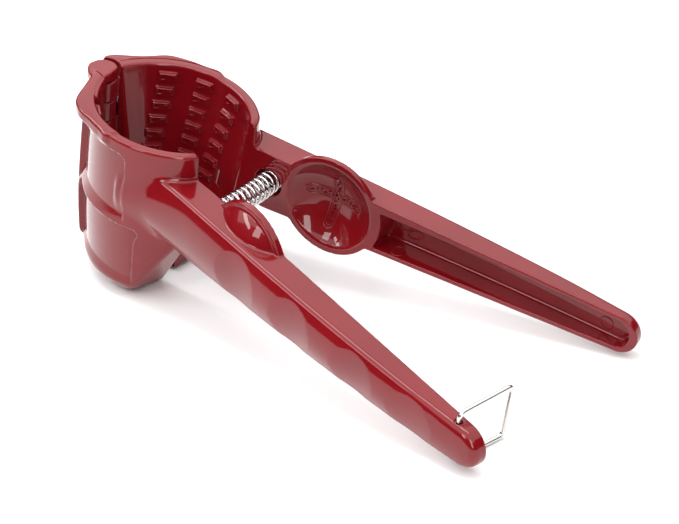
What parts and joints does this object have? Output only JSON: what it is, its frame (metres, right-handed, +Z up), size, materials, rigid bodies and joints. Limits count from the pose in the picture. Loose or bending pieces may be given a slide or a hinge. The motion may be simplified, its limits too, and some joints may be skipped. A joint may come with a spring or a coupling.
{
  "type": "nut cracker",
  "caption": "Hand-held nut cracker: spring-opened cast levers on a hinge pin, each with half of a toothed cup, half of a small ribbed bowl and a hollow handle, plus a wire loop.",
  "frame": {"origin": "centre of the tool's bounding box on the table it lies on", "axes": "+X from the hinge towards the handle ends, +Y towards the far lever, +Z up from the table"},
  "size_m": [0.1816, 0.0768, 0.0614],
  "materials": {
    "lacquer": "gloss, wine red",
    "pin_steel": "satin",
    "spring_wire": "bright nickel",
    "loop_wire": "bright nickel"
  },
  "bodies": {
    "near": {"near_lever": "lacquer", "hinge_pin": "pin_steel", "return_spring": "spring_wire"},
    "far": {"far_lever": "lacquer"},
    "loop": {"hang_loop": "loop_wire"}
  },
  "joints": [
    {"name": "squeeze", "type": "hinge", "parent": "near", "child": "far", "pos_m": [-0.08234, 0, 0.03693], "axis": [0.2019, 0, 0.9794], "range_deg": [-16, 0], "stiffness_Nm_per_rad": 1.35, "springref_deg": 7.45, "deforming": ["return_spring"]},
    {"name": "loop_swing", "type": "hinge", "parent": "near", "child": "loop", "pos_m": [0.08153, -0.03477, 0.00927], "axis": [0.2019, 0, 0.9794], "range_deg": [-165, 0]}
  ]
}
